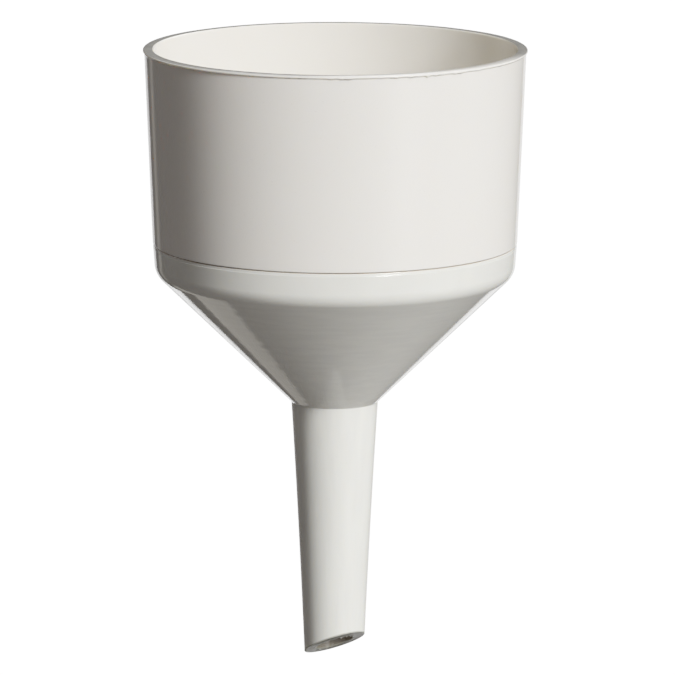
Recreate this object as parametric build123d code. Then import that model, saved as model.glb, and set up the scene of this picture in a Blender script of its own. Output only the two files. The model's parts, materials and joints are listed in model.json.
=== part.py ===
from build123d import *
import math
import os

# Two-part Buchner funnel for 90 mm filter papers, in millimetres.
#
# Frame: the funnel's axis is Z, +Z up, and the origin is on that axis at the level of the
# stem's lowest point. The stem's long tip is on the -X side, its bevel faces +X and down.
#
# Pieces, from the bottom up:
#   cone_and_stem     lower funnel: socket band, roughly 90 degree cone, tapered bevelled stem
#   joint_gasket      flat silicone ring on the socket's shoulder, under the bowl's spigot
#   filter_bowl       upper cylinder; its spigot pushes into the socket, its ledge holds the plate
#   perforated_plate  loose perforated disc with stiffening ribs, on the bowl's ledge

# ---------------------------------------------------------------- levels along the axis
SEAM_Z = 114.0              # bowl's lower shoulder, the seam seen from outside
SEAM_GAP = 0.25             # open line between the bowl's shoulder and the socket's mouth
MOUTH_Z = SEAM_Z - SEAM_GAP
RIM_Z = 165.8               # top of the bowl's rim
LEDGE_Z = SEAM_Z + 4.0      # upper face of the bowl's ledge
SPIGOT_END_Z = SEAM_Z - 5.05
SHOULDER_Z = SEAM_Z - 6.8   # gasket's seat in the socket
JUNCTION_Z = SEAM_Z - 43.3  # where the cone meets the stem

# ---------------------------------------------------------------- shared by several pieces
LEDGE_R = 43.4              # inside radius of the ledge, the spigot and the socket's shoulder
SPIGOT_R = 46.4             # outside radius of the spigot
PLATE_R = 45.0
REST_GAP = 0.02             # gap left between pieces that rest on each other
SMALL_ROUND = 0.35          # rounding of the small edges

# ---------------------------------------------------------------- bowl
BOWL_R_SEAM = 48.5          # outside radius at the seam
BOWL_R_RIM = 50.6           # outside radius under the rim lip
BOWL_R_IN_RIM = 48.15       # inside radius at the rim
LIP_R = 50.95               # outside radius of the rim lip
LIP_H = 0.7                 # height of the rim lip
LIP_RISE = 0.12             # rise of the lip's underside towards its edge
PAPER_BORE_R = 46.0         # straight land that centres a 90 mm paper
PAPER_BORE_H = 6.0          # height of that land above the plate recess
PLATE_SEAT_R = PLATE_R + 0.2  # recess that holds the plate
PLATE_SEAT_H = 3.0          # depth of the plate recess
SPIGOT_ROUND = 0.5
BOWL_ROUND = 0.55           # rounding of the bowl's lower outer edge
LIP_ROUND = 0.3
LEDGE_ROUND = 0.3

# ---------------------------------------------------------------- lower funnel
SOCKET_R = SPIGOT_R + 0.1   # socket bore, with radial clearance round the spigot
BAND_R = 48.45              # outside radius of the band at its mouth
BAND_DRAFT = 0.07           # radius lost per mm down the band
BAND_ROUND = 0.8            # rounding of the mouth's outer edge
CONE_ROUND = 5.5            # rounding between band and cone
CONE_SLOPE = 1.03           # radius per mm of height
CONE_WALL = 2.4             # wall of the cone, square to it
STEM_R_TOP = 11.6           # stem's outside radius at the junction
STEM_R_MID = 9.60           # stem's outside radius halfway down
STEM_R_TIP = 7.96           # stem's outside radius at the tip's level
STEM_LOW_Z = -6.0           # the stem is turned down to here, then cut to the bevel
BORE_R_TOP = 7.9            # stem bore at the cone
BORE_R_TIP = 4.8            # stem bore at the tip's level
BORE_ROUND = 2.0            # rounding between the cone's inside and the bore
BEVEL_DEG = 27.5            # slope of the outlet's bevel
BEVEL_CUTTER = (80, 60, 40)  # block taken away below the bevel

# ---------------------------------------------------------------- gasket
GASKET_R_IN = 43.7
GASKET_R_OUT = 46.35

# ---------------------------------------------------------------- plate
PLATE_T = 2.93
PLATE_LOW = LEDGE_Z + REST_GAP
PLATE_HIGH = PLATE_LOW + PLATE_T
RIB_T = 1.6
RIB_H = 3.4
RIB_LOW = PLATE_LOW - RIB_H
RIB_COUNT = 6
RIB_OVERLAP = 0.5           # how far ribs and hub reach up into the plate
LOCATING_R = LEDGE_R - 0.4  # outside radius of the locating ring under the plate
LOCATING_T = 1.3
HUB_R_IN = 3.1
HUB_R_OUT = 4.7
HOLE_R = 1.1
HOLE_SINK = 0.45            # 45 degree countersink round each hole's upper mouth
HOLE_OVERCUT = 0.2          # how far the hole cutter passes the plate's faces
HOLE_CIRCLES = 6
CIRCLE_PITCH = 6.5          # radius step from one hole circle to the next
HOLES_PER_STEP = 6          # holes added with each circle


# ---------------------------------------------------------------- profile helpers
def corner(vertices, r, z, tolerance=0.05):
    """The profile's corner at radius r and height z."""
    found = [v for v in vertices if abs(v.X - r) < tolerance and abs(v.Z - z) < tolerance]
    assert len(found) == 1, (r, z, len(found))
    return found[0]


def turned(edges, rounds=()):
    """A solid turned about Z from a closed XZ profile; rounds lists (r, z, rounding radius)."""
    face = make_face(edges).face()
    for r, z, radius in rounds:
        face = face.fillet_2d(radius, [corner(face.vertices(), r, z)])
    return revolve(face, axis=Axis.Z, revolution_arc=360)


def path(points, close=True):
    """Edges of a profile through (r, z) points."""
    return Polyline(*[(r, 0, z) for r, z in points], close=close).edges()


# ---------------------------------------------------------------- pieces
def make_filter_bowl():
    lip_low = RIM_Z - LIP_H
    seat_top = LEDGE_Z + PLATE_SEAT_H
    profile = path([
        (LEDGE_R, SPIGOT_END_Z),
        (SPIGOT_R, SPIGOT_END_Z),
        (SPIGOT_R, SEAM_Z),
        (BOWL_R_SEAM, SEAM_Z),
        (BOWL_R_RIM, lip_low),
        (LIP_R, lip_low + LIP_RISE),
        (LIP_R, RIM_Z),
        (BOWL_R_IN_RIM, RIM_Z),
        (PAPER_BORE_R, seat_top + PAPER_BORE_H),
        (PAPER_BORE_R, seat_top),
        (PLATE_SEAT_R, seat_top),
        (PLATE_SEAT_R, LEDGE_Z),
        (LEDGE_R, LEDGE_Z),
    ])
    return turned(profile, [
        (SPIGOT_R, SPIGOT_END_Z, SPIGOT_ROUND),
        (BOWL_R_SEAM, SEAM_Z, BOWL_ROUND),
        (LIP_R, RIM_Z, LIP_ROUND),
        (BOWL_R_IN_RIM, RIM_Z, SMALL_ROUND),
        (LEDGE_R, LEDGE_Z, LEDGE_ROUND),
    ])


def inner_cone_z(r):
    """Height of the cone's inner surface at radius r, one wall inside the outer surface."""
    level_wall = CONE_WALL * math.hypot(1.0, CONE_SLOPE)
    return JUNCTION_Z + (r + level_wall - STEM_R_TOP) / CONE_SLOPE


def stem_r(z):
    """Outside radius of the stem: the parabola through its top, middle and tip radii."""
    mid = JUNCTION_Z / 2
    tip_part = STEM_R_TIP * (z - mid) * (z - JUNCTION_Z) / (mid * JUNCTION_Z)
    mid_part = STEM_R_MID * z * (z - JUNCTION_Z) / (mid * (mid - JUNCTION_Z))
    top_part = STEM_R_TOP * z * (z - mid) / (JUNCTION_Z * (JUNCTION_Z - mid))
    return tip_part + mid_part + top_part


def make_cone_and_stem():
    # Outer corner, where the band's draft line meets the cone's line.
    corner_z = (STEM_R_TOP - CONE_SLOPE * JUNCTION_Z - BAND_R + BAND_DRAFT * MOUTH_Z) / (
        BAND_DRAFT - CONE_SLOPE
    )
    corner_r = STEM_R_TOP + CONE_SLOPE * (corner_z - JUNCTION_Z)
    # The bore's taper is carried on past the tip's level to the stem's turned end.
    bore_top = inner_cone_z(BORE_R_TOP)
    bore_r_low = BORE_R_TIP + (BORE_R_TOP - BORE_R_TIP) * STEM_LOW_Z / bore_top

    arc_mid_z = (STEM_LOW_Z + JUNCTION_Z) / 2
    outer_stem = ThreePointArc(
        (stem_r(STEM_LOW_Z), 0, STEM_LOW_Z),
        (stem_r(arc_mid_z), 0, arc_mid_z),
        (STEM_R_TOP, 0, JUNCTION_Z),
    )
    rest = path([
        (STEM_R_TOP, JUNCTION_Z),
        (corner_r, corner_z),
        (BAND_R, MOUTH_Z),
        (SOCKET_R, MOUTH_Z),
        (SOCKET_R, SHOULDER_Z),
        (LEDGE_R, SHOULDER_Z),
        (LEDGE_R, inner_cone_z(LEDGE_R)),
        (BORE_R_TOP, bore_top),
        (bore_r_low, STEM_LOW_Z),
        (stem_r(STEM_LOW_Z), STEM_LOW_Z),
    ], close=False)
    funnel = turned(outer_stem.edges() + rest, [
        (corner_r, corner_z, CONE_ROUND),
        (BAND_R, MOUTH_Z, BAND_ROUND),
        (SOCKET_R, MOUTH_Z, SMALL_ROUND),
        (BORE_R_TOP, bore_top, BORE_ROUND),
    ])

    # The bevel's plane passes through the tip and rises towards +X; all below it goes.
    bevel_angle = math.radians(BEVEL_DEG)
    bevel_plane = Plane(
        origin=(-STEM_R_TIP, 0, 0),
        x_dir=(math.cos(bevel_angle), 0, math.sin(bevel_angle)),
        z_dir=(-math.sin(bevel_angle), 0, math.cos(bevel_angle)),
    )
    cutter = Box(*BEVEL_CUTTER, align=(Align.CENTER, Align.CENTER, Align.MAX))
    return funnel - bevel_plane * cutter


def make_joint_gasket():
    low = SHOULDER_Z + REST_GAP
    high = SPIGOT_END_Z - REST_GAP
    corners = [
        (GASKET_R_IN, low),
        (GASKET_R_OUT, low),
        (GASKET_R_OUT, high),
        (GASKET_R_IN, high),
    ]
    return turned(path(corners), [(r, z, SMALL_ROUND) for r, z in corners])


def make_holes():
    """Cutters for one centre hole and circles of 6, 12, 18 ... holes round it."""
    cutter_low = PLATE_LOW - HOLE_OVERCUT
    cutter_high = PLATE_HIGH + HOLE_OVERCUT
    hole = turned(path([
        (0, cutter_low),
        (HOLE_R, cutter_low),
        (HOLE_R, PLATE_HIGH - HOLE_SINK),
        (HOLE_R + HOLE_SINK + HOLE_OVERCUT, cutter_high),
        (0, cutter_high),
    ]))
    holes = [hole]
    for k in range(1, HOLE_CIRCLES + 1):
        radius = k * CIRCLE_PITCH
        count = k * HOLES_PER_STEP
        for i in range(count):
            # Each circle is turned half a pitch, so no hole meets a rib.
            angle = math.radians((i + 0.5) * 360.0 / count)
            holes.append(Pos(radius * math.cos(angle), radius * math.sin(angle), 0) * hole)
    return holes


def make_perforated_plate():
    locating_r_in = LOCATING_R - LOCATING_T
    plate = turned(
        path([
            (0, PLATE_LOW),
            (locating_r_in, PLATE_LOW),
            (locating_r_in, RIB_LOW),
            (LOCATING_R, RIB_LOW),
            (LOCATING_R, PLATE_LOW),
            (PLATE_R, PLATE_LOW),
            (PLATE_R, PLATE_HIGH),
            (0, PLATE_HIGH),
        ]),
        [
            (PLATE_R, PLATE_LOW, SMALL_ROUND),
            (PLATE_R, PLATE_HIGH, SMALL_ROUND),
            (LOCATING_R, RIB_LOW, SMALL_ROUND),
        ],
    )

    # Hub ring under the centre hole.
    height = RIB_H + RIB_OVERLAP
    upright = (Align.CENTER, Align.CENTER, Align.MIN)
    plate += Pos(0, 0, RIB_LOW) * (
        Cylinder(HUB_R_OUT, height, align=upright) - Cylinder(HUB_R_IN, height, align=upright)
    )

    # Ribs from the middle of the hub's wall to the middle of the locating ring's.
    rib_from = (HUB_R_IN + HUB_R_OUT) / 2
    rib_to = LOCATING_R - LOCATING_T / 2
    rib = Pos(rib_from, 0, RIB_LOW) * Box(
        rib_to - rib_from, RIB_T, height, align=(Align.MIN, Align.CENTER, Align.MIN)
    )
    for i in range(RIB_COUNT):
        plate += Rot(0, 0, i * 360 / RIB_COUNT) * rib

    return plate - make_holes()


# ---------------------------------------------------------------- files
os.makedirs("parts", exist_ok=True)
for name, shape in {
    "filter_bowl": make_filter_bowl(),
    "cone_and_stem": make_cone_and_stem(),
    "joint_gasket": make_joint_gasket(),
    "perforated_plate": make_perforated_plate(),
}.items():
    export_step(shape.solids()[0], f"parts/{name}.step")
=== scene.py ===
# A filter funnel of four pieces on one upright axis: an open bowl, a cone that runs down into a
# bevelled stem, and a gasket and a perforated plate where the two meet. +Z is up along the axis,
# and z = 0 is the stem's long tip, on the -X side. Shapes are in millimetres until make_mesh().
import json
import math
from collections import namedtuple

import bmesh
import bpy
import numpy as np
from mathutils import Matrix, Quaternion, Vector, geometry, noise


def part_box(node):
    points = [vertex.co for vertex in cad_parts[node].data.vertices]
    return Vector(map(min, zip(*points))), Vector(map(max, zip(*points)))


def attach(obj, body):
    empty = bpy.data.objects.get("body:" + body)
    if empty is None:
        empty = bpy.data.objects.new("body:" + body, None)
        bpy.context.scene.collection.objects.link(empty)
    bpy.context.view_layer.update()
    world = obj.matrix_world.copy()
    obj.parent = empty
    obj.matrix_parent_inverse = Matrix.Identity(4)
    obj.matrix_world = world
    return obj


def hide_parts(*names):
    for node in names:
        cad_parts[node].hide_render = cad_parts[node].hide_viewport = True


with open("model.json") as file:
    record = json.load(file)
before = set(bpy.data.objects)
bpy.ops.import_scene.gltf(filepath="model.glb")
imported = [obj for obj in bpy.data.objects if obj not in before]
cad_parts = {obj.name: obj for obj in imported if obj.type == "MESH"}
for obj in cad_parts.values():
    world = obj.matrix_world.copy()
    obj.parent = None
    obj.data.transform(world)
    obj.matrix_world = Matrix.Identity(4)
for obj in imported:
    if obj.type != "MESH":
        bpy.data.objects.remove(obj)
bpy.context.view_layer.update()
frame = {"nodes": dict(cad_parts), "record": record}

MM = 0.001


def height_span(name):
    """The lowest and highest z of a CAD node, in millimetres."""
    low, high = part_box(name)
    return low[2] / MM, high[2] / MM


SPIGOT_END, RIM_Z = height_span("filter_bowl")
MOUTH_Z = height_span("cone_and_stem")[1]
RIB_BOTTOM, PLATE_TOP = height_span("perforated_plate")
GASKET_LOW, GASKET_HIGH = height_span("joint_gasket")

SEAM_Z = SPIGOT_END + 5.05
LIP_R = 50.95
LIP_LOW = RIM_Z - 0.7
BAND_R = 48.45  # the drafted band round the cone's mouth
THROAT_R = 43.4  # inside of the bowl's spigot, and of the cone under its shoulder
STEP_Z = 121.0  # where the bowl's inside steps in

AROUND = 288  # sections round the cone and the gasket; the bowl has twice as many
CAMERA_AZIMUTH = 54.6  # degrees about +Z, from the -Y side towards +X


# ------------------------------------------------------------------ profiles and meshes


def unit(vector):
    return vector / np.linalg.norm(vector)


def corner_arc(before, corner, after, radius, steps):
    """Points of a rounding of that radius at a corner between two straight runs."""
    before, corner, after = (np.array(point, float) for point in (before, corner, after))
    back, ahead = unit(before - corner), unit(after - corner)
    half = 0.5 * math.acos(max(-1.0, min(1.0, float(back @ ahead))))
    centre = corner + unit(back + ahead) * radius / math.sin(half)
    first = corner + back * radius / math.tan(half) - centre
    last = corner + ahead * radius / math.tan(half) - centre
    sweep = math.atan2(first[0] * last[1] - first[1] * last[0], float(first @ last))
    points = []
    for i in range(steps + 1):
        cos, sin = math.cos(sweep * i / steps), math.sin(sweep * i / steps)
        points.append(
            (
                centre[0] + first[0] * cos - first[1] * sin,
                centre[1] + first[0] * sin + first[1] * cos,
            )
        )
    return points


def run_between(start, end, step, near=0.12):
    """Points between two others: close ones at each end, so that shading stays clean."""
    start, end = np.array(start, float), np.array(end, float)
    length = float(np.linalg.norm(end - start))
    if length < 2.5 * near:
        return []
    inner = length - 2 * near
    count = max(1, int(math.ceil(inner / step)))
    marks = [near] + [near + inner * i / count for i in range(1, count)] + [length - near]
    return [tuple(start + (end - start) * mark / length) for mark in marks]


def rounded_profile(corners, step, arc_steps, closed=True):
    """A profile of (r, z, rounding) corners: arcs at the corners, with runs between them."""
    count = len(corners)
    pieces = []
    for i, (r, z, rounding) in enumerate(corners):
        if rounding <= 0 or (not closed and i in (0, count - 1)):
            pieces.append([(r, z)])
        else:
            before, after = corners[i - 1][:2], corners[(i + 1) % count][:2]
            pieces.append(corner_arc(before, (r, z), after, rounding, arc_steps))
    points = []
    for i, piece in enumerate(pieces):
        points += piece
        if closed or i < count - 1:
            points += run_between(piece[-1], pieces[(i + 1) % count][0], step)
    return np.array(points, float)


def fractal(x, y, z, octaves):
    return noise.fractal(Vector((x, y, z)), 1.0, 2.1, octaves, noise_basis="PERLIN_ORIGINAL")


def ring_noise(angle, spread, level, octaves):
    """Noise that closes on itself round the axis. A wider spread gives finer detail."""
    return fractal(math.cos(angle) * spread, math.sin(angle) * spread, level, octaves)


def seen_angle(degrees_right):
    """The angle about +Z of the outside point that far right of the front's middle."""
    return math.radians(CAMERA_AZIMUTH - 90 + degrees_right)


def burr_height(angle, burrs, place_angle):
    """Height at an angle of burrs given as (place, width in degrees, height)."""
    total = 0
    for place, width, height in burrs:
        away = (angle - place_angle(place) + math.pi) % (2 * math.pi) - math.pi
        total += height * math.exp(-((away / math.radians(width)) ** 2))
    return total


def make_mesh(name, points, faces):
    """A smooth mesh object from points in millimetres, with its faces turned outwards."""
    mesh = bpy.data.meshes.new(name)
    mesh.from_pydata([tuple(p) for p in np.asarray(points, float) * MM], [], faces)
    bm = bmesh.new()
    bm.from_mesh(mesh)
    bmesh.ops.recalc_face_normals(bm, faces=bm.faces)
    bm.to_mesh(mesh)
    bm.free()
    mesh.validate()
    mesh.shade_smooth()
    obj = bpy.data.objects.new(name, mesh)
    bpy.context.scene.collection.objects.link(obj)
    return obj


def turned(name, sections):
    """A closed ring-shaped mesh from closed (r, z) sections, evenly spaced round the axis."""
    sections = np.asarray(sections, float)
    around, along = sections.shape[:2]
    angles = 2 * np.pi * np.arange(around) / around
    points = np.empty((around, along, 3))
    points[:, :, 0] = sections[:, :, 0] * np.cos(angles)[:, None]
    points[:, :, 1] = sections[:, :, 0] * np.sin(angles)[:, None]
    points[:, :, 2] = sections[:, :, 1]
    faces = []
    for i in range(around):
        j = (i + 1) % around
        for k in range(along):
            m = (k + 1) % along
            faces.append((i * along + k, j * along + k, j * along + m, i * along + m))
    return make_mesh(name, points.reshape(-1, 3), faces)


# ------------------------------------------------------------------ bowl
BOWL_CORNERS = [  # (r, z, rounding): up the outside, over the rim and down the inside
    (THROAT_R, SPIGOT_END, 0.25),
    (46.4, SPIGOT_END, 0.5),
    (46.4, SEAM_Z - 0.05, 0.12),
    (48.5, SEAM_Z - 0.05, 0.24),
    (50.58, LIP_LOW - 0.18, 0.12),
    (LIP_R, LIP_LOW + 0.14, 0.10),
    (LIP_R - 0.02, RIM_Z - 0.17, 0.17),
    (49.8, RIM_Z, 2.2),
    (48.42, RIM_Z, 0.05),
    (48.15, RIM_Z - 0.27, 0.06),
    (46.0, 127.0, 0.8),
    (46.0, STEP_Z, 0.15),
    (45.2, STEP_Z, 0.12),
    (45.2, 118.0, 0.12),
    (THROAT_R, 118.0, 0.3),
]
LIP_BURRS = [  # (degrees right of the front's middle, width in degrees, hang)
    (-1.2, 0.8, 0.14), (1.9, 0.5, 0.26), (3.8, 0.9, 0.20), (13.2, 0.4, 0.14),
    (18.0, 0.6, 0.16), (22.6, 0.40, 0.34), (25.3, 0.8, 0.12), (28.0, 0.45, 0.40),
    (30.8, 0.40, 0.34), (33.4, 0.7, 0.16), (37.6, 0.5, 0.30), (39.6, 0.9, 0.24),
    (47.0, 0.6, 0.16), (-58.0, 0.8, 0.12), (118.0, 1.2, 0.16), (-141.0, 0.9, 0.18),
    (163.0, 0.7, 0.14),
]
WALL_WAVE = 0.035  # slow waviness of the wall, which grows to this over WAVE_RISE
WAVE_RISE = 12.0
LIP_RAGGED, LIP_FINE = 0.05, 0.02  # coarse and fine raggedness of the lip's lower edge
LIP_REACH = 0.22  # how far up and down from that edge it fades
RIM_WEAR = 0.8  # share of the rim's outer slope that is worn flat at the back
RIM_DIP, RIM_SINK = 0.03, 0.01  # unevenness of the rim's face, and its mean depth


def bowl_section(angle, profile):
    section = profile.copy()
    r, z = profile[:, 0], profile[:, 1]
    # The moulded wall waves a little above the seam, and not at all on the spigot.
    above = np.clip((z - SEAM_Z) / WAVE_RISE, 0, 1)
    wave = np.array([ring_noise(angle, 1.4, level * 0.02 + 3.1, 2) for level in z])
    section[:, 0] += WALL_WAVE * above * wave
    # The lip's lower edge is ragged, with burrs that hang down and outwards.
    at_lip = np.exp(-(((z - LIP_LOW) / LIP_REACH) ** 2)) * (r > 50.4)
    ragged = LIP_RAGGED * max(0.0, ring_noise(angle, 14, 1.7, 3))
    ragged += LIP_FINE * ring_noise(angle, 40, 5.2, 2)
    hang = burr_height(angle, LIP_BURRS, seen_angle)
    section[:, 1] -= at_lip * (ragged + hang)
    section[:, 0] += at_lip * (0.5 * hang + 0.3 * ragged)
    # The rim's outer slope is worn off at the back, so it is flat nearly to its edge there.
    away = np.clip(0.5 - math.cos(angle - seen_angle(0)), 0, 1)
    sloped = (z > RIM_Z - 0.3) * (r > 48.6) * np.clip((50.93 - r) / 0.22, 0, 1)
    section[:, 1] += RIM_WEAR * away * sloped * (RIM_Z - z)
    dip = min(0.0, RIM_DIP * ring_noise(angle, 3, 8.8, 3) - RIM_SINK)
    section[:, 1] += (z > RIM_Z - 0.5) * dip
    return section


def make_bowl():
    profile = rounded_profile(BOWL_CORNERS, step=1.1, arc_steps=6)
    angles = np.pi * np.arange(2 * AROUND) / AROUND
    return turned("bowl_shell", [bowl_section(angle, profile) for angle in angles])


# ------------------------------------------------------------------ cone and stem
JUNCTION_Z = SEAM_Z - 43.3  # where the stem meets the cone
SHOULDER_Z = SEAM_Z - 6.8
SOCKET_R = 46.5
CONE_SLOPE = 1.03  # radius gained per millimetre of height
DRAFT = 0.07  # the same for the band
STEM_TOP, STEM_MID, STEM_TIP = 11.6, 9.60, 7.96  # outer radii
CONE_WALL = 2.4
WALL_ACROSS = CONE_WALL * math.hypot(1.0, CONE_SLOPE)  # the wall measured level
BORE_TOP, BORE_TIP = 7.9, 4.8  # bore radii
BEVEL = math.tan(math.radians(27.5))  # rise of the stem's cut end towards +X
JUNCTION_ROUND = 0.35
EDGE_STEPS = 5

# Outer corner between the cone and the band.
CORNER_Z = (STEM_TOP - CONE_SLOPE * JUNCTION_Z - BAND_R + DRAFT * MOUTH_Z) / (DRAFT - CONE_SLOPE)
CORNER_R = STEM_TOP + CONE_SLOPE * (CORNER_Z - JUNCTION_Z)

BORE_BURRS = [  # (degrees about +Z, width in degrees, height)
    (-27.0, 2.2, 0.20), (-14.0, 4.0, 0.46), (-6.0, 2.4, 0.26), (4.0, 3.0, 0.38),
    (21.0, 5.5, 0.30), (39.0, 5.0, 0.40), (168.0, 3.0, 0.25), (196.0, 4.0, 0.30),
    (-70.0, 3.0, 0.15),
]
BEVEL_MARKS = (0.03, 0.12, 0.25, 0.4, 0.55, 0.7, 0.85, 0.97)  # shares of the way across


def inner_cone_z(r):
    return JUNCTION_Z + (r + WALL_ACROSS - STEM_TOP) / CONE_SLOPE


BORE_TOP_Z = inner_cone_z(BORE_TOP)


def bore_r(z):
    return BORE_TIP + (BORE_TOP - BORE_TIP) * z / BORE_TOP_Z


def stem_r(z):
    """Outer radius of the stem: a parabola through its tip, middle and top."""
    middle = JUNCTION_Z / 2
    tip_part = STEM_TIP * (z - middle) * (z - JUNCTION_Z) / (middle * JUNCTION_Z)
    middle_part = STEM_MID * z * (z - JUNCTION_Z) / (middle * (middle - JUNCTION_Z))
    top_part = STEM_TOP * z * (z - middle) / (JUNCTION_Z * (JUNCTION_Z - middle))
    return tip_part + middle_part + top_part


def upper_profile(start):
    """The cone's outside from that point, over the mouth, and its inside down to the bore."""
    band_top = BAND_R - DRAFT * 0.75
    corners = [  # (r, z, rounding)
        (*start, 0.0),
        (CORNER_R, CORNER_Z, 5.5),
        (band_top, MOUTH_Z - 0.80, 0.05),
        (band_top - 0.05, MOUTH_Z - 0.70, 0.06),
        (BAND_R - 0.10, MOUTH_Z + 0.05, 0.30),
        (SOCKET_R, MOUTH_Z + 0.05, 0.35),
        (SOCKET_R, SHOULDER_Z, 0.2),
        (THROAT_R, SHOULDER_Z, 0.2),
        (THROAT_R, inner_cone_z(THROAT_R), 1.5),
        (BORE_TOP, BORE_TOP_Z, 2.0),
        (bore_r(BORE_TOP_Z - 4.0), BORE_TOP_Z - 4.0, 0.0),
    ]
    profile = rounded_profile(corners, step=0.7, arc_steps=8, closed=False)
    # Faint rings left on the cone's outside by the turned mould.
    along = np.gradient(profile, axis=0)
    along /= np.linalg.norm(along, axis=1)[:, None]
    r, z = profile[:, 0], profile[:, 1]
    off_cone = np.abs(r - (STEM_TOP + CONE_SLOPE * (z - JUNCTION_Z)))
    on_cone = (r > STEM_TOP + 0.5) & (z < CORNER_Z + 1.0) & (off_cone < 0.4)
    broad, fine = 0.006, 0.003
    rings = np.array(
        [
            broad * fractal(0.2, 0.7, radius * 0.55, 2) + fine * fractal(4.2, 1.7, radius * 1.3, 2)
            for radius in r
        ]
    )
    profile[on_cone, 0] += (along[:, 1] * rings)[on_cone]
    profile[on_cone, 1] -= (along[:, 0] * rings)[on_cone]
    return profile


def graded(count, near):
    """0..1 in that many steps, with the end marks moved just inside."""
    return [near] + [near + (1 - 2 * near) * i / count for i in range(1, count)] + [1 - near]


def bevel_edges(angle):
    """The rounded outer and inner edges of the stem's cut end, at that angle."""

    def cut_z(r):
        return BEVEL * (r * math.cos(angle) + STEM_TIP)

    outer_z, inner_z = cut_z(STEM_TIP), cut_z(-BORE_TIP)
    for _ in range(12):
        outer_z = cut_z(stem_r(outer_z))
        inner_z = cut_z(bore_r(inner_z))
    outer, inner = (stem_r(outer_z), outer_z), (bore_r(inner_z), inner_z)
    up_stem = (stem_r(outer_z + 2), outer_z + 2)
    up_bore = (bore_r(inner_z + 2), inner_z + 2)
    # The cut edges' roundings vary a little.
    outer_round = 0.16 + 0.05 * ring_noise(angle, 2, 0.4, 2)
    inner_round = 0.22 + 0.10 * ring_noise(angle, 3, 2.4, 3)
    outer_edge = corner_arc(up_stem, outer, inner, outer_round, EDGE_STEPS)
    inner_edge = corner_arc(outer, inner, up_bore, inner_round, EDGE_STEPS)
    # Burr left by the cut, standing down from the bore's edge and slightly inwards.
    burr = burr_height(angle, BORE_BURRS, math.radians)
    burr += 0.05 * max(0.0, ring_noise(angle, 9, 6.1, 3))
    burred = []
    for i, (r, z) in enumerate(inner_edge):
        swell = math.sin(math.pi * i / EDGE_STEPS)
        burred.append((r - 0.05 * burr * swell, z - 0.95 * burr * swell))
    return outer_edge, burred


def make_cone():
    below = (stem_r(JUNCTION_Z - 2), JUNCTION_Z - 2)
    junction = corner_arc(
        below, (STEM_TOP, JUNCTION_Z), (CORNER_R, CORNER_Z), JUNCTION_ROUND, EDGE_STEPS
    )
    upper = upper_profile(junction[-1])
    top_z, bore_high = junction[0][1], upper[-1][1]
    stem_marks, bore_marks = graded(64, near=0.0015), graded(40, near=0.002)
    stem_wave = 0.012
    sections = []
    for angle in 2 * np.pi * np.arange(AROUND) / AROUND:
        outer_edge, inner_edge = bevel_edges(angle)
        start, end = np.array(outer_edge[-1]), np.array(inner_edge[0])
        bevel_run = [tuple(start * (1 - mark) + end * mark) for mark in BEVEL_MARKS]
        stem_low, bore_low = outer_edge[0][1], inner_edge[-1][1]
        stem_run = []
        for mark in stem_marks:
            z = stem_low + (top_z - stem_low) * mark
            wave = stem_wave * ring_noise(angle, 1.3, z * 0.03, 2) * math.sin(math.pi * mark)
            stem_run.append((stem_r(z) + wave, z))
        heights = [bore_low + (bore_high - bore_low) * mark for mark in reversed(bore_marks)]
        sections.append(
            stem_run
            + junction[:-1]
            + [tuple(point) for point in upper]
            + [(bore_r(z), z) for z in heights]
            + inner_edge[::-1]
            + bevel_run[::-1]
            + outer_edge[::-1]
        )
    return turned("cone_stem_shell", sections)


# ------------------------------------------------------------------ gasket
def make_gasket():
    inner, outer, rounding = 43.7, 46.35, 0.45
    corners = [
        (inner, GASKET_LOW, rounding),
        (outer, GASKET_LOW, rounding),
        (outer, GASKET_HIGH, rounding),
        (inner, GASKET_HIGH, rounding),
    ]
    profile = rounded_profile(corners, step=0.5, arc_steps=8)
    return turned("gasket_ring", [profile] * AROUND)


# ------------------------------------------------------------------ perforated plate
PLATE_R = 45.0
PLATE_BOTTOM = PLATE_TOP - 2.93
HOLE_R, HOLE_SINK = 1.1, 0.45
SINK_R = HOLE_R + HOLE_SINK
PITCH, HOLE_RINGS = 6.5, 6
LOCATING_R, LOCATING_T = 43.0, 1.3  # the ring under the plate
RIB_HALF, POCKET_ROUND = 0.8, 1.1
HUB_IN, HUB_OUT = 3.1, 4.7
RIM_COUNT, HOLE_COUNT, HUB_COUNT = 240, 28, 48  # points round each circle

HOLE_PROFILE = [  # (r, z), from the countersink down
    (SINK_R + 0.10, PLATE_TOP),
    (SINK_R + 0.02, PLATE_TOP - 0.02),
    (SINK_R - 0.05, PLATE_TOP - 0.08),
    (HOLE_R + 0.07, PLATE_TOP - HOLE_SINK + 0.03),
    (HOLE_R, PLATE_TOP - HOLE_SINK - 0.08),
    (HOLE_R, PLATE_TOP - 1.4),
    (HOLE_R, PLATE_BOTTOM + 0.15),
    (HOLE_R + 0.03, PLATE_BOTTOM + 0.04),
    (HOLE_R + 0.12, PLATE_BOTTOM),
]
RIB_PROFILE = [  # (z, how far the ribs' sides draw back), from the plate down
    (PLATE_BOTTOM, -0.35),
    (PLATE_BOTTOM - 0.05, -0.18),
    (PLATE_BOTTOM - 0.16, -0.06),
    (PLATE_BOTTOM - 0.38, 0.0),
    (PLATE_BOTTOM - 1.6, 0.015),
    (RIB_BOTTOM + 0.3, 0.03),
    (RIB_BOTTOM + 0.12, 0.07),
    (RIB_BOTTOM + 0.03, 0.14),
    (RIB_BOTTOM, 0.26),
]


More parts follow.
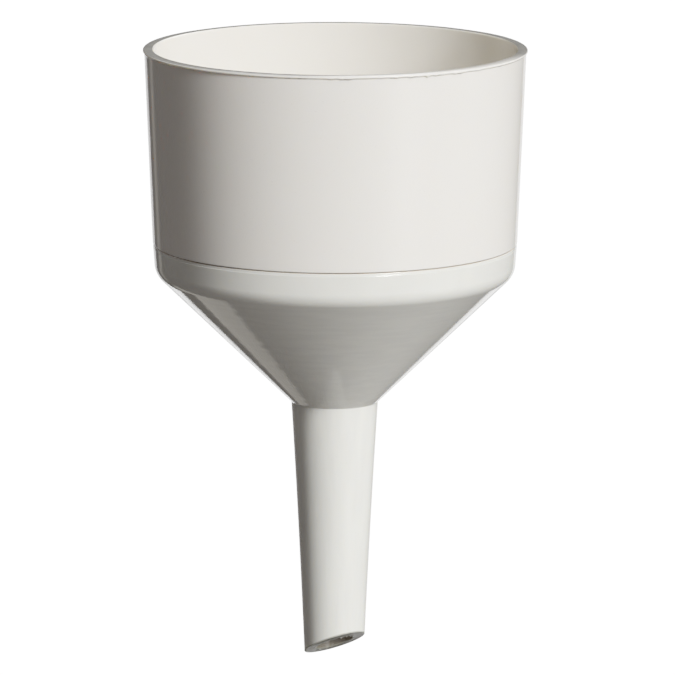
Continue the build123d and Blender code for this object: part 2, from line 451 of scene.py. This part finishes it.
def inside(outline, point):
    """Whether a point lies within a closed outline."""
    x, y = outline[:, 0], outline[:, 1]
    next_x, next_y = np.roll(x, -1), np.roll(y, -1)
    crossed = (y > point[1]) != (next_y > point[1])
    with np.errstate(divide="ignore", invalid="ignore"):
        cross_x = x + (point[1] - y) * (next_x - x) / (next_y - y)
    return bool(np.count_nonzero(crossed & (point[0] < cross_x)) % 2)


class LoopMesh:
    """Points and faces built from level closed loops, each a list of point indices."""

    def __init__(self):
        self.points, self.faces = [], []

    def outline(self, loop):
        return np.array([self.points[i][:2] for i in loop])

    def stack(self, levels):
        """Adds a loop for each (outline, z), joins each to the next, and returns them all."""
        loops = []
        for outline, z in levels:
            first = len(self.points)
            self.points.extend((x, y, z) for x, y in outline)
            loops.append(list(range(first, first + len(outline))))
        for one, other in zip(loops, loops[1:]):
            for i in range(len(one)):
                j = (i + 1) % len(one)
                self.faces.append((one[i], one[j], other[j], other[i]))
        return loops

    def fill(self, outer, inners):
        """Triangulates the flat region inside the outer loop and outside the inner loops."""
        index = list(outer) + [i for loop in inners for i in loop]
        place = {point: i for i, point in enumerate(index)}
        edges = []
        for loop in [outer] + list(inners):
            for i in range(len(loop)):
                edges.append((place[loop[i]], place[loop[(i + 1) % len(loop)]]))
        flat = [Vector(self.points[i][:2]) for i in index]
        verts, _, faces, origins, _, _ = geometry.delaunay_2d_cdt(flat, edges, [], 0, 1e-5)
        outer_line = self.outline(outer)
        gaps = [self.outline(loop) for loop in inners]
        boxes = [(gap.min(0), gap.max(0)) for gap in gaps]
        for face in faces:
            x, y = middle = sum((verts[i] for i in face), Vector((0, 0))) / len(face)
            if not inside(outer_line, middle):
                continue
            if any(
                low[0] <= x <= high[0] and low[1] <= y <= high[1] and inside(gap, middle)
                for gap, (low, high) in zip(gaps, boxes)
            ):
                continue
            self.faces.append(tuple(index[origins[i][0]] for i in face))


def circle(x, y, r, count):
    angles = [2 * math.pi * i / count for i in range(count)]
    return [(x + r * math.cos(angle), y + r * math.sin(angle)) for angle in angles]


def hole_centres():
    """One hole in the middle, then rings of 6, 12, 18 and so on."""
    centres = [(0.0, 0.0)]
    for k in range(1, HOLE_RINGS + 1):
        for i in range(6 * k):
            angle = math.radians((i + 0.5) * 60.0 / k)
            centres.append((k * PITCH * math.cos(angle), k * PITCH * math.sin(angle)))
    return centres


def pocket_outline(number, grow):
    """One of the six pockets between the ribs, grown by that much all round."""
    hub_r, ring_r = HUB_OUT, LOCATING_R - LOCATING_T
    first_rib, next_rib = math.radians(60 * number), math.radians(60 * number + 60)
    outline = []

    def corner(rib, side, at_hub):
        """Centre of a corner's rounding, and its directions to the circle and to the rib."""
        cos, sin = math.cos(rib), math.sin(rib)
        off = RIB_HALF + POCKET_ROUND
        reach = hub_r + POCKET_ROUND if at_hub else ring_r - POCKET_ROUND
        out = math.sqrt(reach * reach - off * off)
        x = cos * out + -sin * off * side
        y = sin * out + cos * off * side
        to_circle = math.atan2(y, x) + (math.pi if at_hub else 0.0)
        return x, y, to_circle, math.atan2(-cos * side, sin * side)

    def rounding(x, y, start, end, steps=6):
        sweep = (end - start + math.pi) % (2 * math.pi) - math.pi
        r = POCKET_ROUND + grow
        for i in range(steps + 1):
            angle = start + sweep * i / steps
            outline.append((x + r * math.cos(angle), y + r * math.sin(angle)))

    def circle_run(r, start, sweep, steps):
        for i in range(1, steps):
            angle = start + sweep * i / steps
            outline.append((r * math.cos(angle), r * math.sin(angle)))

    hub_x, hub_y, to_hub, to_rib = corner(first_rib, 1, at_hub=True)
    rounding(hub_x, hub_y, to_hub, to_rib)
    x, y, to_ring, to_rib = corner(first_rib, 1, at_hub=False)
    rounding(x, y, to_rib, to_ring)
    start = math.atan2(y, x)
    x, y, to_ring, to_rib = corner(next_rib, -1, at_hub=False)
    circle_run(ring_r + grow, start, (math.atan2(y, x) - start) % (2 * math.pi), steps=30)
    rounding(x, y, to_ring, to_rib)
    x, y, to_hub, to_rib = corner(next_rib, -1, at_hub=True)
    rounding(x, y, to_rib, to_hub)
    start = math.atan2(y, x)
    sweep = -((start - math.atan2(hub_y, hub_x)) % (2 * math.pi))
    circle_run(hub_r - grow, start, sweep, steps=4)
    return outline


def in_pocket(x, y, number):
    """Whether a hole centred there, other than the middle one, opens into that pocket."""
    middle = math.radians(60 * number + 30)
    away = (math.atan2(y, x) - middle + math.pi) % (2 * math.pi) - math.pi
    return (x or y) and abs(away) < math.radians(30)


def make_plate():
    mesh = LoopMesh()
    centres = hole_centres()
    holes = [
        mesh.stack([(circle(x, y, r, HOLE_COUNT), z) for r, z in HOLE_PROFILE])
        for x, y in centres
    ]
    under_loops = [loops[-1] for loops in holes]

    rim_corners = [
        (PLATE_R - 1.2, PLATE_BOTTOM, 0),
        (PLATE_R, PLATE_BOTTOM, 0.35),
        (PLATE_R, PLATE_TOP, 0.35),
        (PLATE_R - 1.2, PLATE_TOP, 0),
    ]
    rim_profile = rounded_profile(rim_corners, step=0.8, arc_steps=5, closed=False)
    rim = mesh.stack([(circle(0, 0, r, RIM_COUNT), z) for r, z in rim_profile])
    mesh.fill(rim[-1], [loops[0] for loops in holes])

    pocket_lows = []
    for k in range(6):
        pocket = mesh.stack([(pocket_outline(k, grow), z) for z, grow in RIB_PROFILE])
        opening = [loop for loop, (x, y) in zip(under_loops, centres) if in_pocket(x, y, k)]
        mesh.fill(pocket[0], opening)
        pocket_lows.append(pocket[-1])

    hub = mesh.stack([(circle(0, 0, HUB_IN + grow, HUB_COUNT), z) for z, grow in RIB_PROFILE])
    mesh.fill(hub[0], [under_loops[0]])
    outer = mesh.stack(
        [(circle(0, 0, LOCATING_R - grow, RIM_COUNT), z) for z, grow in RIB_PROFILE]
    )
    mesh.fill(rim[0], [outer[0]])
    mesh.fill(outer[-1], pocket_lows + [hub[-1]])
    obj = make_mesh("plate_disc", mesh.points, mesh.faces)
    obj.data.set_sharp_from_angle(angle=math.radians(38))
    return obj


bowl = make_bowl()
cone = make_cone()
gasket = make_gasket()
plate = make_plate()
for piece, node, body, slot in (
    (bowl, "filter_bowl", "bowl", "white_polypropylene"),
    (cone, "cone_and_stem", "lower_funnel", "white_polypropylene"),
    (gasket, "joint_gasket", "gasket", "silicone"),
    (plate, "perforated_plate", "plate", "plate_polypropylene"),
):
    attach(piece, body)
    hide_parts(node)


# ------------------------------------------------------------------ materials
class Shader:
    """A short hand for wiring a node tree."""

    def __init__(self, tree):
        self.tree = tree
        tree.nodes.clear()

    def add(self, kind):
        return self.tree.nodes.new(kind)

    def put(self, socket, value):
        if isinstance(value, bpy.types.NodeSocket):
            self.tree.links.new(value, socket)
        else:
            socket.default_value = value

    def math(self, operation, *values):
        node = self.add("ShaderNodeMath")
        node.operation = operation
        for socket, value in zip(node.inputs, values):
            self.put(socket, value)
        return node.outputs[0]

    def times(self, first, *others):
        for other in others:
            first = self.math("MULTIPLY", first, other)
        return first

    def vector(self, operation, *values):
        node = self.add("ShaderNodeVectorMath")
        node.operation = operation
        for socket, value in zip(node.inputs, values):
            self.put(socket, value)
        return node.outputs["Value" if operation == "DOT_PRODUCT" else "Vector"]

    def separate(self, vector):
        node = self.add("ShaderNodeSeparateXYZ")
        self.put(node.inputs[0], vector)
        return node.outputs

    def combine(self, *scaled):
        """A vector of three (value, factor) products."""
        node = self.add("ShaderNodeCombineXYZ")
        for socket, (value, factor) in zip(node.inputs, scaled):
            self.put(socket, self.times(value, factor))
        return node.outputs[0]

    def noise(self, vector, scale, detail, rough):
        node = self.add("ShaderNodeTexNoise")
        self.put(node.inputs["Vector"], vector)
        node.inputs["Scale"].default_value = scale
        node.inputs["Detail"].default_value = detail
        node.inputs["Roughness"].default_value = rough
        return node.outputs["Fac"]

    def ramp(self, value, span, to=(0.0, 1.0)):
        """A smooth step from to[0] to to[1] as the value crosses the span."""
        node = self.add("ShaderNodeMapRange")
        node.interpolation_type = "SMOOTHSTEP"
        self.put(node.inputs["Value"], value)
        for key, level in zip(("From Min", "From Max", "To Min", "To Max"), (*span, *to)):
            self.put(node.inputs[key], level)
        return node.outputs["Result"]

    def ramp_mm(self, value, span, to=(0.0, 1.0)):
        """The same for a length in metres, with the span in millimetres."""
        return self.ramp(value, [end * MM for end in span], to)

    def mix(self, factor, *colours):
        node = self.add("ShaderNodeMix")
        node.data_type = "RGBA"
        self.put(node.inputs["Factor"], factor)
        for i, colour in zip((6, 7), colours):
            self.put(node.inputs[i], (*colour, 1) if isinstance(colour, tuple) else colour)
        return node.outputs[2]

    def bump(self, height, distance):
        node = self.add("ShaderNodeBump")
        node.inputs["Distance"].default_value = distance
        node.inputs["Strength"].default_value = 1.0
        self.put(node.inputs["Height"], height)
        return node.outputs["Normal"]


FALL = (1.0, 0.0)
Place = namedtuple("Place", "coord x z angle radius")


def new_material(name):
    material = bpy.data.materials.new(name)
    material.use_nodes = True
    nodes = Shader(material.node_tree)
    out = nodes.add("ShaderNodeOutputMaterial")
    bsdf = nodes.add("ShaderNodeBsdfPrincipled")
    nodes.put(out.inputs["Surface"], bsdf.outputs[0])
    return material, nodes, bsdf


def set_body(bsdf, ior, weight, radius, scale):
    """Refraction, and the scattering of light under the skin."""
    bsdf.inputs["IOR"].default_value = ior
    bsdf.subsurface_method = "RANDOM_WALK"
    bsdf.inputs["Subsurface Weight"].default_value = weight
    bsdf.inputs["Subsurface Radius"].default_value = radius
    bsdf.inputs["Subsurface Scale"].default_value = scale


def stain_and_shade_cone(nodes, place, tint):
    coord, x, z, _, radius = place
    # The stem's bore is painted dark brown: partly a brown film, partly painted shade down the
    # narrow bore.
    taper = (BORE_TOP - BORE_TIP) / BORE_TOP_Z
    limit = nodes.math("MULTIPLY_ADD", z, taper, (BORE_TIP + 0.25) * MM)
    in_bore = nodes.times(
        nodes.math("LESS_THAN", radius, limit), nodes.math("LESS_THAN", z, BORE_TOP_Z * MM)
    )
    film_and_shade = nodes.noise(coord, scale=260.0, detail=4.0, rough=0.6)
    film_and_shade = nodes.ramp(film_and_shade, span=(0.3, 0.7), to=(0.72, 1.0))
    tint = nodes.mix(nodes.times(in_bore, film_and_shade), tint, (0.225, 0.185, 0.125))
    # The bevel's cut face is painted a darker grey-green than the rest, with a soft edge.
    plane = nodes.times(nodes.math("ADD", x, STEM_TIP * MM), BEVEL)
    off = nodes.math("SUBTRACT", z, plane)
    sawn = nodes.noise(coord, scale=700.0, detail=3.0, rough=0.65)
    cut = nodes.times(
        nodes.ramp_mm(nodes.math("ABSOLUTE", off), span=(0.20, 0.42), to=FALL),
        nodes.ramp_mm(z, span=(15, 20), to=FALL),
        nodes.ramp(sawn, span=(0.3, 0.7), to=(0.80, 1.0)),
    )
    tint = nodes.mix(cut, tint, (0.38, 0.385, 0.325))
    # Painted highlight: burrs that stand below the cut are painted pale, where they catch the key
    # light.
    burr_glint = nodes.times(
        nodes.ramp_mm(off, span=(-0.10, -0.22)), nodes.ramp_mm(z, span=(15, 20), to=FALL)
    )
    tint = nodes.mix(burr_glint, tint, (0.86, 0.85, 0.80))
    # Painted shade: a warm dark line in the open gap under the bowl's shoulder.
    seam_shade = nodes.times(
        nodes.ramp_mm(z, span=(MOUTH_Z - 0.22, MOUTH_Z - 0.05)),
        nodes.ramp_mm(radius, span=(48.36, 48.30)),
    )
    return nodes.mix(nodes.times(seam_shade, 0.6), tint, (0.42, 0.30, 0.20))


def painted_shade_bowl(nodes, place, tint):
    coord, _, z, angle, radius = place
    # Painted shade: the inside is painted darker and warmer than the outside, and darker and
    # browner still towards one side.
    flare, step_r = 0.045, 47.3
    limit = nodes.math("MULTIPLY_ADD", z, flare, (step_r - flare * STEP_Z) * MM)
    within = nodes.times(
        nodes.ramp_mm(nodes.math("SUBTRACT", limit, radius), span=(-0.4, 0.4)),
        nodes.ramp_mm(z, span=(SEAM_Z + 1, SEAM_Z + 4)),
    )
    tint = nodes.mix(within, tint, (0.762, 0.731, 0.667))
    # Painted shade on the inner wall about 100 degrees right, which faces away from the key light.
    facing = nodes.math("COSINE", nodes.math("SUBTRACT", angle, seen_angle(100)))
    painted_side_shade = nodes.ramp(facing, span=(0.84, 0.955), to=(0.0, 0.85))
    tint = nodes.mix(nodes.times(within, painted_side_shade), tint, (0.60, 0.555, 0.465))
    # Painted shade: the rim's flat face, which faces up and gets little light, is painted grey,
    # least of all at 34 degrees right.
    face = nodes.times(
        nodes.ramp_mm(z, span=(RIM_Z - 0.26, RIM_Z - 0.12)),
        nodes.ramp_mm(radius, span=(48.38, 48.46)),
        nodes.ramp_mm(radius, span=(50.94, 50.84)),
    )
    painted_rim_shade = nodes.noise(coord, scale=420.0, detail=3.0, rough=0.6)
    bright_side = nodes.math("COSINE", nodes.math("SUBTRACT", angle, seen_angle(34)))
    painted_rim_shade = nodes.times(
        nodes.ramp(painted_rim_shade, span=(0.3, 0.7), to=(0.86, 1.0)),
        nodes.ramp(bright_side, span=(0.66, 0.93), to=(1.0, 0.05)),
    )
    tint = nodes.mix(nodes.times(face, painted_rim_shade), tint, (0.27, 0.265, 0.245))
    # Painted shade in patches under the lip's lower edge.
    patch = nodes.noise(coord, scale=430.0, detail=2.0, rough=0.5)
    under = nodes.times(
        nodes.ramp_mm(z, span=(LIP_LOW - 0.34, LIP_LOW - 0.20)),
        nodes.ramp_mm(z, span=(LIP_LOW + 0.10, LIP_LOW - 0.02)),
        nodes.ramp_mm(radius, span=(50.2, 50.4)),
        nodes.ramp(patch, span=(0.54, 0.66), to=(0.08, 0.50)),
    )
    return nodes.mix(under, tint, (0.30, 0.275, 0.23))


def painted_shade_plate(nodes, place, tint):
    """Painted shade down in the holes, below the mouths of their countersinks."""
    hole_mottle = nodes.noise(place.coord, scale=180.0, detail=3.0, rough=0.6)
    hole_shade = nodes.times(
        nodes.ramp_mm(place.z, span=(PLATE_TOP - 0.08, PLATE_TOP - 0.42)),
        nodes.ramp_mm(place.radius, span=(43.9, 43.7)),
        nodes.ramp_mm(place.z, span=(PLATE_BOTTOM + 0.02, PLATE_BOTTOM + 0.2)),
        nodes.ramp(hole_mottle, span=(0.3, 0.7), to=(0.75, 1.0)),
    )
    return nodes.mix(hole_shade, tint, (0.25, 0.225, 0.18))


def ring_space(nodes, place, spread):
    """Noise space in which a pattern runs in rings, drifting a little round the axis."""
    return nodes.combine(
        (place.radius, 1.0),
        (nodes.math("SINE", place.angle), spread),
        (nodes.math("COSINE", place.angle), spread),
    )


def plastic(
    name, base, warm, rough, subsurface, stains_and_shade, rings=False, draw_lines=True, specular=0.5
):
    """Moulded polypropylene: clouded colour, faint mould lines, fine skin and scratches."""
    material, nodes, bsdf = new_material(name)
    coord = nodes.add("ShaderNodeTexCoord").outputs["Object"]
    x, y, z = nodes.separate(coord)
    angle = nodes.math("ARCTAN2", y, x)
    squares = nodes.math("ADD", nodes.times(x, x), nodes.times(y, y))
    place = Place(coord, x, z, angle, nodes.math("SQRT", squares))

    # Colour: slow clouds of pigment, rings of painted shade, rare fine specks, and the piece's
    # stains and painted shade.
    cloud = nodes.noise(coord, scale=22.0, detail=4.0, rough=0.55)
    tint = nodes.mix(nodes.ramp(cloud, span=(0.35, 0.68)), base, warm)
    if rings:
        # Painted shade: faint darker rings stand in for the shade on the turned ripples.
        turn = ring_space(nodes, place, spread=0.0040)
        turn = nodes.noise(turn, scale=760.0, detail=2.0, rough=0.6)
        shade = tuple(0.935 * channel for channel in base)
        tint = nodes.mix(nodes.ramp(turn, span=(0.34, 0.66), to=(0.0, 0.85)), tint, shade)
    speck = nodes.noise(coord, scale=1500.0, detail=1.0, rough=0.5)
    speck = nodes.times(nodes.ramp(speck, span=(0.735, 0.765)), 0.12)
    tint = stains_and_shade(nodes, place, nodes.mix(speck, tint, (0.42, 0.36, 0.28)))

    # Skin, with heights in metres: fine orange peel, and draw lines up the wall or rings.
    peel_height, line_height, ring_height = 0.0000022, 0.0000100, 0.000005
    scratch_depth = 0.0000006
    peel = nodes.noise(coord, scale=900.0, detail=2.0, rough=0.5)
    height = nodes.times(peel, peel_height)
    if draw_lines:
        lines_at = nodes.combine(
            (nodes.math("COSINE", angle), 1.0), (nodes.math("SINE", angle), 1.0), (z, 1.6)
        )
        lines = nodes.noise(lines_at, scale=62.0, detail=3.0, rough=0.6)
        streaks = nodes.noise(lines_at, scale=420.0, detail=2.0, rough=0.6)
        height = nodes.math("ADD", height, nodes.times(lines, line_height))
        faint = nodes.ramp(streaks, span=(0.35, 0.65), to=(0.0, 0.022))
        tint = nodes.mix(faint, tint, (0.45, 0.43, 0.40))
    nodes.put(bsdf.inputs["Base Color"], tint)
    if rings:
        ring = ring_space(nodes, place, spread=0.0020)
        ring = nodes.noise(ring, scale=800.0, detail=1.0, rough=0.4)
        height = nodes.math("ADD", height, nodes.times(ring, ring_height))
    # Hairline scratches: thin cells stretched along one slanting direction.
    scratch_at = nodes.add("ShaderNodeMapping")
    nodes.put(scratch_at.inputs["Vector"], coord)
    scratch_at.inputs["Rotation"].default_value = (0.10, -0.16, 0.9)
    scratch_at.inputs["Scale"].default_value = (1.0, 1.0, 0.035)
    scratch = nodes.noise(scratch_at.outputs[0], scale=1600.0, detail=1.0, rough=0.4)
    scratch = nodes.ramp(scratch, span=(0.72, 0.76))
    height = nodes.math("SUBTRACT", height, nodes.times(scratch, scratch_depth))
    nodes.put(bsdf.inputs["Normal"], nodes.bump(height, distance=1.0))

    # Gloss: handled areas are a little duller, and scratches are rough.
    handled = nodes.noise(coord, scale=38.0, detail=3.0, rough=0.6)
    handled = nodes.ramp(handled, span=(0.35, 0.75), to=(0.0, 0.035))
    dull = nodes.math("ADD", handled, rough)
    dull = nodes.math("ADD", dull, nodes.times(scratch, 0.06))
    nodes.put(bsdf.inputs["Roughness"], dull)
    bsdf.inputs["Specular IOR Level"].default_value = specular
    set_body(bsdf, ior=1.49, weight=subsurface, radius=(1.0, 0.86, 0.62), scale=0.0012)
    return material


def silicone(name):
    """Translucent silicone rubber: soft, slightly cloudy and warm, with a satin skin."""
    material, nodes, bsdf = new_material(name)
    coord = nodes.add("ShaderNodeTexCoord").outputs["Object"]
    cloud = nodes.ramp(nodes.noise(coord, scale=140.0, detail=4.0, rough=0.6), span=(0.3, 0.7))
    tint = nodes.mix(cloud, (0.74, 0.67, 0.55), (0.66, 0.57, 0.44))
    nodes.put(bsdf.inputs["Base Color"], tint)
    satin = nodes.noise(coord, scale=420.0, detail=3.0, rough=0.6)
    satin = nodes.ramp(satin, span=(0.3, 0.7), to=(0.34, 0.52))
    nodes.put(bsdf.inputs["Roughness"], satin)
    skin = nodes.noise(coord, scale=1300.0, detail=2.0, rough=0.5)
    nodes.put(bsdf.inputs["Normal"], nodes.bump(skin, distance=0.000006))
    set_body(bsdf, ior=1.41, weight=0.7, radius=(1.0, 0.8, 0.5), scale=0.0018)
    bsdf.inputs["Transmission Weight"].default_value = 0.15
    return material


bowl_plastic = plastic(
    "white_polypropylene_bowl", base=(0.807, 0.783, 0.728), warm=(0.799, 0.772, 0.713),
    rough=0.07, subsurface=0.30, stains_and_shade=painted_shade_bowl,
)
cone_plastic = plastic(
    "white_polypropylene_cone", base=(0.797, 0.798, 0.738), warm=(0.787, 0.788, 0.724),
    rough=0.03, subsurface=0.30, stains_and_shade=stain_and_shade_cone, rings=True, specular=0.64,
)
plate_plastic = plastic(
    "plate_polypropylene", base=(0.800, 0.765, 0.695), warm=(0.79, 0.752, 0.678),
    rough=0.30, subsurface=0.12, stains_and_shade=painted_shade_plate, rings=True, draw_lines=False,
)
rubber = silicone("silicone")
bowl.data.materials.append(bowl_plastic)
cone.data.materials.append(cone_plastic)
plate.data.materials.append(plate_plastic)
gasket.data.materials.append(rubber)

# The CAD nodes take the same materials, by slot.
slot_materials = {
    "white_polypropylene": bowl_plastic,
    "plate_polypropylene": plate_plastic,
    "silicone": rubber,
}
node_slots = {part["node"]: part["material_slot"] for part in frame["record"]["subparts"]}
for obj in frame["nodes"].values():
    obj.data.materials.clear()
    obj.data.materials.append(slot_materials[node_slots[obj.name]])


# ------------------------------------------------------------------ camera
AIM = Vector((0.0, 0.0, (SEAM_Z - 26.16) * MM))
DISTANCE, ELEVATION = 1.700, 10.78  # metres, degrees
LENS, SENSOR = 339.592, 36.0  # millimetres
SHIFT_X = 0.00407407  # share of the frame's width
ROLL = math.radians(0.12)


def direction(degrees_right, degrees_up):
    """From the object, that far right of the camera's side and up from level."""
    turn = math.radians(CAMERA_AZIMUTH) + math.radians(degrees_right)
    rise = math.radians(degrees_up)
    return math.sin(turn) * math.cos(rise), -math.cos(turn) * math.cos(rise), math.sin(rise)


def make_camera():
    back = Vector(direction(0, ELEVATION))
    data = bpy.data.cameras.new("camera")
    data.sensor_width = SENSOR
    data.lens = LENS
    data.shift_x = SHIFT_X
    data.clip_start, data.clip_end = 0.05, 100.0
    camera = bpy.data.objects.new("camera", data)
    camera.location = AIM + back * DISTANCE
    camera.rotation_mode = "QUATERNION"
    level = (-back).to_track_quat("-Z", "Y")
    camera.rotation_quaternion = level @ Quaternion((0, 0, 1), ROLL)
    bpy.context.scene.collection.objects.link(camera)
    bpy.context.scene.camera = camera


make_camera()

# ------------------------------------------------------------------ studio light
# A soft box to the right of the camera and above it, with weaker light from other sides.
# 0 degrees is behind the camera, 90 is to its right, and 180 is behind the object.
WHITE, WARM, CREAM = (1.0, 1.0, 1.0), (1.0, 0.925, 0.90), (1.0, 0.95, 0.84)
AMBIENT, AMBIENT_TINT = 0.025, WARM
LOBES = [  # (degrees right, degrees up, sharpness, strength, tint)
    (42, 24, 150.0, 29.0, WHITE),
    (38, 38, 150.0, 32.5, WHITE),
    (44, -4, 50.0, 1.25, WHITE),
    (-30, -6, 6.0, 0.15, WARM),
    (75, -40, 6.0, 0.22, WARM),
    (135, 28, 25.0, 2.1, WHITE),
    (172, 42, 90.0, 5.6, WHITE),
    (-150, 42, 8.0, 0.12, WHITE),
]
# Pale boards behind the object, with angles in degrees.
BOARDS = [  # (right, half width, side softness, lowest, highest, strength, tint)
    (180, 16.5, 1.0, -27.5, -19, 0.95, WHITE),
    (180, 19.0, 0.8, -19, -6, 0.52, WHITE),
    (-151.2, 5.2, 0.8, -57, -27, 0.30, CREAM),
    (-149, 3.0, 1.6, -22, -8, 0.15, CREAM),
    (-160, 35, 5, 22, 40, 0.7, WHITE),
]
LOW_SOFT, HIGH_SOFT = 3, 2  # softness of the boards' lower and upper edges
BACKDROP = 1.05  # the white that only the camera sees


def light_world(world):
    nodes = Shader(world.node_tree)
    out = nodes.add("ShaderNodeOutputWorld")
    where = nodes.vector("NORMALIZE", nodes.add("ShaderNodeTexCoord").outputs["Generated"])
    total = [AMBIENT * channel for channel in AMBIENT_TINT]

    def add_light(amount, strength, tint):
        for i in range(3):
            total[i] = nodes.math("MULTIPLY_ADD", amount, strength * tint[i], total[i])

    for right, up, sharp, strength, tint in LOBES:
        facing = nodes.vector("DOT_PRODUCT", where, direction(right, up))
        fall = nodes.math("MULTIPLY_ADD", facing, sharp, -sharp)
        add_light(nodes.math("EXPONENT", fall), strength, tint)

    x, y, z = nodes.separate(where)
    flat = nodes.math("SQRT", nodes.math("ADD", nodes.times(x, x), nodes.times(y, y)))
    height = nodes.math("ARCTAN2", z, flat)

    def edge(angle, middle, soft, to=(0.0, 1.0)):
        return nodes.ramp(angle, (math.radians(middle - soft), math.radians(middle + soft)), to)

    for right, half, soft, low, high, strength, tint in BOARDS:
        ahead = nodes.vector("DOT_PRODUCT", where, direction(right, 0))
        side = nodes.math("ARCCOSINE", nodes.math("DIVIDE", ahead, flat))
        board = nodes.times(
            edge(side, half, soft, to=FALL),
            edge(height, low, LOW_SOFT),
            edge(height, high, HIGH_SOFT, to=FALL),
        )
        add_light(board, strength, tint)

    lit = nodes.add("ShaderNodeBackground")
    colour = nodes.add("ShaderNodeCombineColor")
    for socket, channel in zip(colour.inputs, total):
        nodes.put(socket, channel)
    nodes.put(lit.inputs["Color"], colour.outputs[0])
    white = nodes.add("ShaderNodeBackground")
    white.inputs["Color"].default_value = (1, 1, 1, 1)
    white.inputs["Strength"].default_value = BACKDROP
    choose = nodes.add("ShaderNodeMixShader")
    nodes.put(choose.inputs[0], nodes.add("ShaderNodeLightPath").outputs["Is Camera Ray"])
    nodes.put(choose.inputs[1], lit.outputs[0])
    nodes.put(choose.inputs[2], white.outputs[0])
    nodes.put(out.inputs["Surface"], choose.outputs[0])


world = bpy.data.worlds.new("studio")
bpy.context.scene.world = world
world.use_nodes = True
light_world(world)
world.cycles.sampling_method = "MANUAL"
world.cycles.sample_map_resolution = 1024


def set_tone(shoulder, dark_levels):
    """A tone curve that lifts the darks and rolls off highlights, with full white kept."""
    look = bpy.context.scene.view_settings
    look.view_transform = "Standard"
    look.use_curve_mapping = True
    curve = look.curve_mapping.curves[3]
    for level in sorted([i / 16 for i in range(17)] + dark_levels):
        value = (1 + shoulder) * level / (1 + shoulder * level)
        if level in (0.0, 1.0):
            end = min(curve.points, key=lambda point: abs(point.location[0] - level))
            end.location = (level, value)
        else:
            curve.points.new(level, value)
    look.curve_mapping.update()


set_tone(shoulder=2.0, dark_levels=[0.015, 0.035, 0.09, 0.15, 0.21])


# ------------------------------------------------------------------ floor
def floor_paper():
    """Glowing white from above, and clear from below."""
    paper = bpy.data.materials.new("floor_paper")
    paper.use_nodes = True
    nodes = Shader(paper.node_tree)
    out = nodes.add("ShaderNodeOutputMaterial")
    glow = nodes.add("ShaderNodeEmission")
    glow.inputs["Color"].default_value = (1, 1, 1, 1)
    glow.inputs["Strength"].default_value = 1.02
    clear = nodes.add("ShaderNodeBsdfTransparent")
    choose = nodes.add("ShaderNodeMixShader")
    nodes.put(choose.inputs[0], nodes.add("ShaderNodeNewGeometry").outputs["Backfacing"])
    nodes.put(choose.inputs[1], glow.outputs[0])
    nodes.put(choose.inputs[2], clear.outputs[0])
    nodes.put(out.inputs["Surface"], choose.outputs[0])
    return paper


def make_floor(size, z):
    """A plain sheet well below the object, which only the camera sees."""
    mesh = bpy.data.meshes.new("studio_floor")
    bm = bmesh.new()
    bmesh.ops.create_grid(bm, x_segments=24, y_segments=24, size=size)
    bm.to_mesh(mesh)
    bm.free()
    floor = bpy.data.objects.new("studio_floor", mesh)
    floor.location = (0, 0, z)
    bpy.context.scene.collection.objects.link(floor)
    mesh.materials.append(floor_paper())
    for kind in ("diffuse", "glossy", "transmission", "volume_scatter", "shadow"):
        setattr(floor, "visible_" + kind, False)
    return floor


make_floor(size=9.0, z=-0.30)
